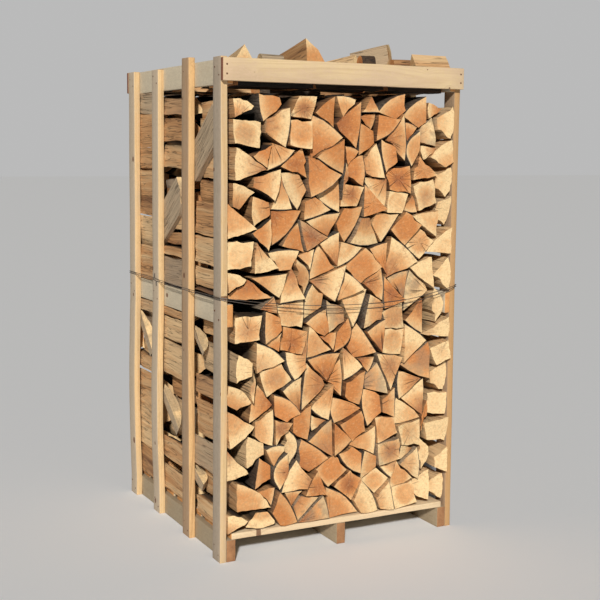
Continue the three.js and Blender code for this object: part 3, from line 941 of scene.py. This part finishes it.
def free_room(logs, low, high, blocks, side):
    """The levels of a row, where its side wall stands at each, and how much room is free there."""
    levels = np.arange(low.z + STICK_FLOOR, high.z - STICK_CEILING, STEP)
    near = np.concatenate([outline for outline, _, _ in logs])
    far = np.concatenate([np.roll(outline, -1, 0) for outline, _, _ in logs])
    walls = side_walls(blocks, low.x, levels, levels)[0 if side < 0 else 1] * side
    rooms = []
    for level, wall in zip(levels, walls):
        crossed = (near[:, 1] <= level) != (far[:, 1] <= level)
        part = (level - near[crossed, 1]) / (far[crossed, 1] - near[crossed, 1])
        places = near[crossed, 0] + part * (far[crossed, 0] - near[crossed, 0])
        rooms.append(wall - max((places * side).max(initial=0.0), 0.0))
    return levels, walls, np.array(rooms)


def side_sticks(logs, low, high, blocks, rng):
    """Split sticks for the hollows between a row's logs and either side wall."""
    sticks = []
    for side in (-1, 1):
        levels, walls, rooms = free_room(logs, low, high, blocks, side)
        start = 0
        while start < len(levels):
            end = start
            tallest = rng.uniform(0.6, 1.0) * STICK_TALL[1]
            while end < len(levels) and rooms[end] > STICK_ROOM and walls[end] == walls[start]:
                if levels[end] - levels[start] > tallest:
                    break
                end += 1
            if (end - start) * STEP > STICK_TALL[0]:
                picks = np.linspace(start, end - 1, STICK_POINTS).astype(int)
                reach = [min(rooms[i], STICK_WIDEST) - STICK_AIR for i in picks]
                inner = [(side * (walls[start] - r), levels[i]) for r, i in zip(reach, picks)]
                wall = side * walls[start]
                points = [(wall, levels[end - 1]), (wall, levels[start]), *inner]
                outline = np.array(points if side < 0 else points[::-1])
                sticks.append((outline, [False] * len(outline), outline.mean(0)))
            start = end + 1
    return sticks


# %% [markdown]
# ## Making the logs
# Each outline becomes a face at the log's front end and is extruded along the grain. The
# back end is moved, turned and shrunk a little, since no log is a true prism, and each end is
# a saw cut that is a few degrees off square. The end that shows has a narrow rim set
# back from it, which carries the bark's edge where that side is bark. A shape that is
# repeated hundreds of times must stay light, so three cuts along it are enough, and the
# torn fibres are left to the material's relief.

# %% One log
END, SPLIT, BARK = 0, 1, 2
RIM = 0.003
CORNER = "corner"
SAW_SLOPE = 0.075
DRIFT = 0.004  # how far a log's back end lies off its front end
TAPER = (0.93, 1.02)
TREE_LENGTH = 60  # each log takes its grain from some place along this length
# Painted shade on the logs' sides, carried by the depth attribute: a log at a side wall darkens
# behind the side that it shows, and the others darken towards the end that is hidden.
WALL_FADE = 10.0  # how fast a log at a side wall darkens behind the side that it shows
SHADED_ENDS = {"front": (0.0, 1.0), "none": (1.0, 1.0), "back": (1.0, 0.0)}


def saw_cut(verts, rng):
    """Tilts a log's end a few degrees, as a chain saw leaves it."""
    centre = sum((vert.co for vert in verts), Vector()) / len(verts)
    slope = rng.normal(0, SAW_SLOPE, 2)
    for vert in verts:
        away = vert.co - centre
        vert.co.y += slope[0] * away.x + slope[1] * away.z


def log_corners(bm, log, front, wall, traits, start, shown):
    """The points of a log's front end. start is where along its tree the log was cut."""
    outline, _, pith = log
    layers = bm.verts.layers
    reach = np.hypot(*(outline - pith).T).max()
    corners = []
    for number, (x, z) in enumerate(outline):
        vert = bm.verts.new((x, front, z))
        vert[layers.int[CORNER]] = number
        vert[layers.float_vector[WOOD]] = (x - pith[0], z - pith[1], start)
        vert[layers.float_vector[TRAIT]] = traits
        vert[layers.float[GIRTH]] = reach
        # Painted shade at this corner: darker away from a wall log's outer side, or else set by
        # which end is hidden.
        painted_shade = (wall - abs(x)) * WALL_FADE if wall else SHADED_ENDS[shown][0]
        vert[layers.float[SHADE_DEPTH]] = painted_shade
        corners.append(vert)
    return corners


def clothe_sides(end, bark_sides, corner):
    """Gives each side of a log bark or a split face, by the corner of its end that it starts at."""
    for loop in end.loops:
        side = next(face for face in loop.edge.link_faces if face is not end)
        pair = sorted((loop.vert[corner], loop.link_loop_next.vert[corner]))
        first = pair[1] if pair[1] - pair[0] > 1 else pair[0]
        side.material_index = BARK if bark_sides[first] else SPLIT


def add_log(bm, log, ends, wall, traits, rng, shown):
    """Draws a log out between its two ends. wall is how far out it reaches, if it stands at a
    side wall, and shown names the end with a rim: front, back or none."""
    outline, bark_sides, _ = log
    front, back = ends
    wood = bm.verts.layers.float_vector[WOOD]
    depth = bm.verts.layers.float[SHADE_DEPTH]
    near = log_corners(bm, log, front, wall, traits, rng.uniform(0, TREE_LENGTH), shown)
    near_face = bm.faces.new(near)
    drawn = bmesh.ops.extrude_face_region(bm, geom=[near_face])["geom"]
    far = [item for item in drawn if isinstance(item, bmesh.types.BMVert)]
    far_face = next(item for item in drawn if isinstance(item, bmesh.types.BMFace))
    # Painted shade is left off the front end of a front-row log on the right.
    if shown == "front" and outline[0, 0] > 0:
        for vert in near:
            vert[depth] = 0.0
    centre = Vector((outline[:, 0].mean(), 0, outline[:, 1].mean()))
    drift = Vector((rng.normal(0, DRIFT), back - front, rng.normal(0, DRIFT)))
    taper = rng.uniform(*TAPER)
    if wall:
        drift.x = 0.0
        taper = 1.0
    for vert in far:
        flat = Vector((vert.co.x, 0, vert.co.z)) - centre
        vert.co = centre + flat * taper + drift + Vector((0, front, 0))
        vert[wood] = vert[wood] + Vector((0, 0, back - front))
        # Painted shade at the far end of a log that stands away from the walls.
        if not wall:
            vert[depth] = SHADED_ENDS[shown][1]
    clothe_sides(near_face, bark_sides, bm.verts.layers.int[CORNER])
    for verts in (near, far):
        saw_cut(verts, rng)
    for name, face in (("front", near_face), ("back", far_face)):
        if name == shown:
            add_rim(bm, face)


def add_rim(bm, face):
    """Sets a narrow rim back from a log's end, bark where it meets bark."""
    bm.normal_update()
    rim = bmesh.ops.inset_region(bm, faces=[face], thickness=RIM, depth=0.0, use_even_offset=False)
    for strip in rim["faces"]:
        sides = [
            other
            for edge in strip.edges
            for other in edge.link_faces
            if other is not strip and other not in rim["faces"] and other is not face
        ]
        strip.material_index = BARK if any(s.material_index == BARK for s in sides) else END


# %% [markdown]
# ## Three rows of logs
# The rows stand one behind the other, each a log's length deep. A row is made in upright
# groups of logs, so that each group is a piece of its own that can be baked sharply. The
# logs are paler to the left and the right and redder in the middle, and a little redder
# higher up.

# %% Build the rows
FRONT_TOP = [(-0.52, 1.868), (0.1, 1.874), (0.3, 1.893), (0.435, 1.893), (0.44, 1.842)]
MIDDLE_TOP = [(-0.52, 1.898), (0.335, 1.898), (0.34, 1.884)]
BACK_TOP = [(-0.52, 1.898), (0.52, 1.898)]
ROWS = {  # seed, groups, log length, the end that shows, the row's top
    "log_row_front": (56, 8, 0.332, "front", FRONT_TOP),
    "log_row_middle": (7, 5, 0.360, "none", MIDDLE_TOP),
    "log_row_back": (53, 6, 0.334, "back", BACK_TOP),
}
STICK_SEED = 50  # added to a row's seed for all that is drawn after the stacking
WOBBLE = 0.0035
WOBBLE_WAVES = 12  # in a metre
TEAR = 0.004  # how far torn fibres stand up on the logs that are seen along their length
TEAR_WAVES = (48, 48, 8)  # in a metre across the grain, and along it
FINER = 3
SIDE_CUTS, INNER_CUTS = 15, 3  # cuts along the logs that show their sides, and along the others
LENGTH_SPREAD = 0.003
BARE_ROOM = 0.12  # logs nearer to a side wall than this turn a split side to it
WALL_SLIM = (0.84, 0.95)  # the logs there touch at a few points only, so they look slimmer
PRESSED = (1.01, 1.04)  # at the back on the left they are pressed together and hide the sky
CHOCK_ROOM = 0.03
CHOCK_AIR = (0.001, 0.006)  # beside a chock, and over and under it
CHOCK_TRAITS = (0.4, 0.3, 0.3)


def log_traits(x, z, rng):
    """A log's redness, heart and weathering, from where it lies in its row."""
    redness = 0.62 - 1.1 * max(0, -x - 0.18) - 3.2 * max(0, x - 0.3) + 0.12 * (z - 1.0)
    return Vector((
        min(1, max(0, rng.normal(redness, 0.26))),
        min(1, max(0, rng.normal(0.45 + 0.3 * redness, 0.3))),
        rng.uniform(0, 1),
    ))


def finer_outline(log):
    """The same log with more points on each side, for one that is seen along its length."""
    outline, bark_sides, pith = log
    run = np.roll(outline, -1, 0) - outline
    parts = np.arange(FINER) / FINER
    points = outline[:, None] + run[:, None] * parts[None, :, None]
    return points.reshape(-1, 2), [side for side in bark_sides for _ in parts], pith


def dent_at(place, waves, depth):
    """How far a point with that place in its tree is moved by noise of that many waves."""
    return noise.noise_vector(Vector([p * w for p, w in zip(place, waves)])) * depth


def roughen(bm, tear):
    """Bends the logs a little between their ends, and tears their fibres by that much."""
    wood = bm.verts.layers.float_vector[WOOD]
    for vert in bm.verts:
        shift = noise.noise_vector(vert[wood] * WOBBLE_WAVES) * WOBBLE
        shift += dent_at(vert[wood], TEAR_WAVES, tear)
        vert.co += Vector((shift.x, shift.y * 0.3, shift.z))


def add_chock(bm, near, far, back, rng):
    """Stands a short split stick behind a splint, in the slot between the logs and the slats."""
    beside, over = CHOCK_AIR
    left, right = near.x + beside, far.x - beside
    bottom, top = near.z + over, far.z - over
    corners = [(left, top), (left, bottom), (right, bottom), (right, top)]
    outline = []
    for i, corner in enumerate(corners):
        outline += [corner, *split_side(rng, corner, corners[(i + 1) % 4])]
    outline = np.array(outline)
    log = (outline, [False] * len(outline), outline.mean(0))
    ends = (far.y + 0.003, back - 0.002)
    add_log(bm, log, ends, abs(left), Vector(CHOCK_TRAITS), rng, "back")


def bare_log(log, shown, rng):
    """A log at a side wall: without bark, and slimmer or pressed against its neighbours."""
    outline, _, pith = log
    centre = outline.mean(0)
    pressed = shown == "back" and outline[0, 0] < 0
    slim = np.array([1.0, rng.uniform(*(PRESSED if pressed else WALL_SLIM))])
    return centre + (outline - centre) * slim, [False] * len(outline), pith


def log_ends(low, high, length, by_wall, shown, rng):
    """Where a log starts and ends on Y. Some stand out of the row a little more than others."""
    room = (high.y - low.y) - length
    slack = rng.uniform(0.0, 1.0) * room
    if by_wall and shown == "back":
        slack = room
    front = low.y + slack
    back = min(front + length + rng.normal(0, LENGTH_SPREAD), high.y)
    if by_wall and shown != "front":
        front = max(front, low.y + GRAZE)
    return front, back


def build_row(node, seed, groups, length, shown, skyline):
    """Makes a row's logs as a few pieces, each of the logs in one upright strip of the row."""
    low, high, blocks = row_space(node)
    rng = np.random.default_rng(seed + STICK_SEED)
    logs = stack_row(node, seed, skyline)
    if shown != "front":
        logs += side_sticks(logs, low, high, blocks, rng)
    logs.sort(key=lambda log: log[0][:, 0].mean())
    for number, group in enumerate(np.array_split(np.arange(len(logs)), groups)):
        bm = bmesh.new()
        add_layers(bm)
        bm.verts.layers.int.new(CORNER)
        at_side = number in (0, groups - 1)
        for i in group:
            log = finer_outline(logs[i]) if at_side else logs[i]
            by_wall = abs(log[0][:, 0]).max() > -low.x - BARE_ROOM
            if by_wall:
                log = bare_log(log, shown, rng)
            outline = log[0]
            ends = log_ends(low, high, length, by_wall, shown, rng)
            traits = log_traits(outline[:, 0].mean(), outline[:, 1].mean(), rng)
            wall = abs(outline[:, 0]).max() if by_wall else None
            add_log(bm, log, ends, wall, traits, rng, shown)
        if shown == "back" and number == 0:
            for near, far in blocks:
                if far.x < 0 and far.y < high.y - CHOCK_ROOM:
                    add_chock(bm, near, far, high.y, rng)
        cut_across(bm, AXES[1], low.y, high.y, SIDE_CUTS if at_side else INNER_CUTS)
        roughen(bm, TEAR if at_side else 0)
        name = f"{node}_group_{number + 1}"
        finish_piece(bm, name, [log_end, split_face, bark], [node])
    print(node, "has", len(logs), "logs")


for node, facts in ROWS.items():
    build_row(node, *facts)

# %% [markdown]
# ## The heap and the splints
# The loose logs on top and the splints at the side stand out against the sky, so they keep
# the exact place and tilt of their solids. Their grain runs along their longest edge. A
# narrow side of such a solid is part of a curve, so it is bark, and a wide side was
# split. They are few, so they can carry real dents: cuts in three directions and noise.

# %% Dress the heap and the splints
BARK_SIDE = 0.045  # a side narrower than this is bark
UPRIGHT = 0.2  # a grain whose cross product with Z is shorter than this counts as upright
END_FACING, END_CORNERS = 0.8, 8  # an end faces along the grain this well or has more corners
LENGTH_CUTS, CROSS_CUTS = 9, 4
TORN_WAVES, BENT_WAVES = (26, 26, 5), (6, 6, 4)  # in a metre, across the grain and along it
# Over this length on Y the painted shade of the front board's shadow deepens.
DARK_END_FADE = 0.08
LOOSE_TRAITS = ((0.2, 0.75), (0.2, 0.8), (0.0, 0.8))  # ranges of redness, heart and weathering


def grain_axes(bm):
    """Unit vectors across and along the grain, and the middle of the piece."""
    longest = max(bm.edges, key=lambda edge: edge.calc_length())
    along = (longest.verts[1].co - longest.verts[0].co).normalized()
    across = along.cross(Vector((0, 0, 1)))
    if across.length < UPRIGHT:
        across = along.cross(Vector((1, 0, 0)))
    across.normalize()
    middle = sum((vert.co for vert in bm.verts), Vector()) / len(bm.verts)
    return across, across.cross(along), along, middle


def clothe_solid(bm, along, upward, barked):
    """Gives each side of a loose piece its finish, and returns the way that its bark faces."""
    outward = Vector()
    for face in bm.faces:
        is_end = abs(face.normal.dot(along)) > END_FACING or len(face.verts) > END_CORNERS
        length = max(edge.calc_length() for edge in face.edges)
        narrow = face.calc_area() / length < BARK_SIDE
        face.material_index = END if is_end else BARK if barked and narrow else SPLIT
        if face.material_index == BARK:
            outward += face.normal * face.calc_area()
    return outward.normalized() if outward.length > 0 else upward


def dress_piece(node, seed, dent, barked=True, traits=None, dark_end=None):
    """Gives a loose log or splint its grain, its bark and its dents. Where Y is under dark_end,
    it lies in the front board's shadow, which is painted on as shade."""
    bm = copy_solid(node)
    bm.normal_update()
    across, upward, along, middle = grain_axes(bm)
    outward = clothe_solid(bm, along, upward, barked)
    flat = [vert.co - middle for vert in bm.verts]
    reach = max(abs(place.dot(along)) for place in flat)
    span = max(max(abs(place.dot(across)), abs(place.dot(upward))) for place in flat)
    pith = middle - outward * span
    cut_across(bm, along, -reach, reach, LENGTH_CUTS, middle)
    cut_across(bm, across, -span, span, CROSS_CUTS, middle)
    cut_across(bm, upward, -span, span, CROSS_CUTS, middle)
    rng = np.random.default_rng(seed)
    drawn = [rng.uniform(*limits) for limits in LOOSE_TRAITS]
    traits = Vector(traits or drawn)
    start = rng.uniform(0, TREE_LENGTH)
    wood = bm.verts.layers.float_vector[WOOD]
    trait = bm.verts.layers.float_vector[TRAIT]
    girth = bm.verts.layers.float[GIRTH]
    depth = bm.verts.layers.float[SHADE_DEPTH]
    for vert in bm.verts:
        vert[girth] = span * 2
        # Painted shade: in front of dark_end the piece darkens, as in the front board's shadow.
        if dark_end is not None:
            vert[depth] = min(1.0, max(0.0, (dark_end - vert.co.y) / DARK_END_FADE))
        place = vert.co - pith
        vert[wood] = (place.dot(across), place.dot(upward), place.dot(along) + start)
        vert[trait] = traits
        vert.co += dent_at(vert[wood], TORN_WAVES, dent) + dent_at(vert[wood], BENT_WAVES, dent)
    return finish_piece(bm, f"{node}_split", [log_end, split_face, bark], [node])


OWN_TRAITS = {  # redness, heart and weathering of the loose pieces that stand out
    "heap_log_7": (0.15, 0.2, 0.2),
    "heap_log_8": (0.0, 0.2, 1.0),
    "heap_log_9": (0.6, 0.3, 0.1),
    "heap_log_10": (0.0, 0.2, 0.1),
    "heap_log_11": (0.2, 0.3, 0.9),
    "heap_log_12": (1.0, 1.0, 0.0),
    "heap_log_13": (0.25, 0.2, 0.3),
}
SPLINT_TRAITS = (0.1, 0.2, 1.0)
HEAP_SEED, HEAP_DENT = 300, 0.003
SPLINT_SEED, SPLINT_DENT = 400, 0.0015
BARE_LOGS = ("heap_log_8",)
# The heap logs under the front board, which get its shadow as painted shade in front of DARK_END.
UNDER_BOARD = [f"heap_log_{number}" for number in range(1, 7)]
DARK_END = -0.36  # on Y
heap = [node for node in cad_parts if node.startswith("heap_log")]
splints = [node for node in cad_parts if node.startswith("side_splint")]
for number, node in enumerate(sorted(heap)):
    dark_end = DARK_END if node in UNDER_BOARD else None
    barked = node not in BARE_LOGS
    dress_piece(node, HEAP_SEED + number, HEAP_DENT, barked, OWN_TRAITS.get(node), dark_end)
for number, node in enumerate(sorted(splints)):
    dress_piece(node, SPLINT_SEED + number, SPLINT_DENT, False, SPLINT_TRAITS)
print("loose logs", len(heap), "and splints", len(splints))

# %% [markdown]
# ## Tie wire
# The wire is plain annealed steel: dull grey, with a trace of rust. Its solid already follows
# the whole route in short straight stretches with eight sides, so a copy of it with a
# subdivision surface is round and bends softly. A curve with a bevel would do as well, but
# its route would have to be written out a second time.

# %% Paint for wire and nails
def paint_steel(name, bright, rust, rusty):
    g = Graph(name)
    place = g.node("ShaderNodeTexCoord", {}, {}, "Object")
    stain = g.noise(place, 60, 4, 0.6).step(0.75 - rusty, 0.95 - rusty)
    fine = g.noise(place, 900, 2)
    g.fill(g.shader.inputs["Metallic"], 0.85 - stain * 0.6)
    colour = g.shade(g.mix(stain, bright, rust), 0.85 + fine * 0.3)
    return g.finish(colour, 0.42 + stain * 0.4, fine, 0.0002)


wire_steel = paint_steel("wire_steel", tint(120, 116, 112), tint(92, 66, 48), 0.3)
nail_steel = paint_steel("nail_steel", tint(132, 118, 104), tint(104, 66, 44), 0.45)


def round_wire(node):
    bm = copy_solid(node)
    piece = finish_piece(bm, f"{node}_drawn", [wire_steel], [node], crease=180)
    smooth = piece.modifiers.new("round", "SUBSURF")
    smooth.levels = smooth.render_levels = 2
    return piece


for node in ("tie_wire_upper", "tie_wire_lower"):
    print("wire", round_wire(node).name)

# %% [markdown]
# ## Nails
# Two nails hold each slat to each rail and to its runner, and each end of a top board to its
# corner slat. Only their heads show: flat discs, 7 mm across, that stand out by less than a
# millimetre. A head is a short cylinder with its upper rim bevelled, and all are one piece.

# %% Drive the nails
HEAD_RADIUS = 0.0036
HEAD_PROUD = 0.0008
HEAD_THICK = 0.0022
HEAD_SIDES, HEAD_BEVEL = 14, 0.0006
SLAT_SPREAD = (0.021, 0.016)  # of the two nails from a crossing's middle, on Y and Z
BOARD_MARGIN = (0.016, 0.026)  # from a top board's ends and edges to its nails


def add_nail(bm, place, facing):
    """A nail head at a place on a board's face, facing the way given."""
    turn = Vector(facing).to_track_quat("Z", "Y").to_matrix().to_4x4()
    turn.translation = Vector(place) + Vector(facing) * (HEAD_PROUD - HEAD_THICK / 2)
    made = bmesh.ops.create_cone(
        bm, cap_ends=True, segments=HEAD_SIDES, radius1=HEAD_RADIUS, radius2=HEAD_RADIUS,
        depth=HEAD_THICK, matrix=turn,
    )
    rim = dict.fromkeys(edge for vert in made["verts"] for edge in vert.link_edges)
    top = [e for e in rim if all((v.co - turn.translation).dot(Vector(facing)) > 0 for v in e.verts)]
    break_edges(bm, top, HEAD_BEVEL)


def nail_spots(slat, crossing, wall):
    """Two places where a slat crosses a rail or a runner. wall is the slats' outer face on X."""
    low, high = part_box(slat)
    rail_low, rail_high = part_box(crossing)
    sign = -1 if wall < 0 else 1
    middle = (rail_low.z + rail_high.z) / 2
    for side in (-1, 1):
        y = (low.y + high.y) / 2 + side * SLAT_SPREAD[0]
        yield (wall, y, middle + side * SLAT_SPREAD[1]), (sign, 0, 0)


nails = bmesh.new()
add_layers(nails)
walls = {"left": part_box("slat_left_1")[0].x, "right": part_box("slat_right_1")[1].x}
for side, wall in walls.items():
    for number in range(1, 5):
        for crossing in (f"top_rail_{side}", f"mid_rail_{side}", f"runner_{side}"):
            for place, facing in nail_spots(f"slat_{side}_{number}", crossing, wall):
                add_nail(nails, place, facing)
for board, facing in (("top_board_front", -1), ("top_board_back", 1)):
    low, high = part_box(board)
    y = low.y if facing < 0 else high.y
    for x in (low.x + BOARD_MARGIN[0], high.x - BOARD_MARGIN[0]):
        for z in (low.z + BOARD_MARGIN[1], high.z - BOARD_MARGIN[1]):
            add_nail(nails, (x, y, z), (0, facing, 0))
nail_count = len(nails.verts)
finish_piece(nails, "nail_heads", [nail_steel], [], crease=40)
print("nail heads use", nail_count, "points")

# %% [markdown]
# ## Floor and light
# The crate stands on a plain pale floor. A soft key light stands in front and to the left,
# low as morning sun is, so that the front is bright, the left side dimmer and the gaps
# between the logs dark. The world gives a gentle fill, and looks as pale as the floor behind
# the crate.

# %% Floor, key light and fill
FLOOR_SIZE = 120
FLOOR_COLOUR = (0.852, 0.875, 0.91, 1)
SKY_COLOUR = (0.985, 0.985, 0.985, 1)
KEY_COLOUR = (1.0, 0.965, 0.91)
KEY_ENERGY = 3.6
KEY_DISTANCE = 9  # of the light's symbol only: a sun has no place
KEY_HEADING = math.radians(30)
KEY_HEIGHT = math.radians(28)
KEY_SOFTNESS = math.radians(4)
FILL = 0.05  # how strongly the world lights the crate
BACKDROP = 0.5  # how bright it looks behind the crate: as bright as the floor
floor_mesh = bpy.data.meshes.new("studio_floor")
floor_bm = bmesh.new()
bmesh.ops.create_grid(floor_bm, x_segments=1, y_segments=1, size=FLOOR_SIZE / 2)
floor_bm.to_mesh(floor_mesh)
floor_bm.free()
floor = bpy.data.objects.new("studio_floor", floor_mesh)
bpy.context.scene.collection.objects.link(floor)
floor_paint = bpy.data.materials.new("studio_floor")
floor_paint.use_nodes = True
floor_shader = floor_paint.node_tree.nodes["Principled BSDF"]
floor_shader.inputs["Base Color"].default_value = FLOOR_COLOUR
floor_shader.inputs["Roughness"].default_value = 0.9
floor_mesh.materials.append(floor_paint)
floor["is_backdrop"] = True

key_data = bpy.data.lights.new("key_light", "SUN")
key_data.energy = KEY_ENERGY
key_data.angle = KEY_SOFTNESS
key_data.color = KEY_COLOUR
key = bpy.data.objects.new("key_light", key_data)
key.location = line_of_sight(KEY_HEADING, KEY_HEIGHT) * -KEY_DISTANCE
key.rotation_mode = "QUATERNION"
key.rotation_quaternion = line_of_sight(KEY_HEADING, KEY_HEIGHT).to_track_quat("-Z", "Y")
bpy.context.scene.collection.objects.link(key)

world = bpy.data.worlds.new("studio_world")
world.use_nodes = True
bpy.context.scene.world = world
sky = world.node_tree.nodes["Background"]
sky.inputs["Color"].default_value = SKY_COLOUR
seen = world.node_tree.nodes.new("ShaderNodeLightPath").outputs["Is Camera Ray"]
level = world.node_tree.nodes.new("ShaderNodeMapRange")
level.inputs["To Min"].default_value = FILL
level.inputs["To Max"].default_value = BACKDROP
world.node_tree.links.new(seen, level.inputs["Value"])
world.node_tree.links.new(level.outputs["Result"], sky.inputs["Strength"])
bpy.context.scene.view_settings.view_transform = "Standard"
print("key light", key_data.energy)

# %% Measure and finish
low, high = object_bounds()
print("visual box", [round(side, 3) for side in high - low])
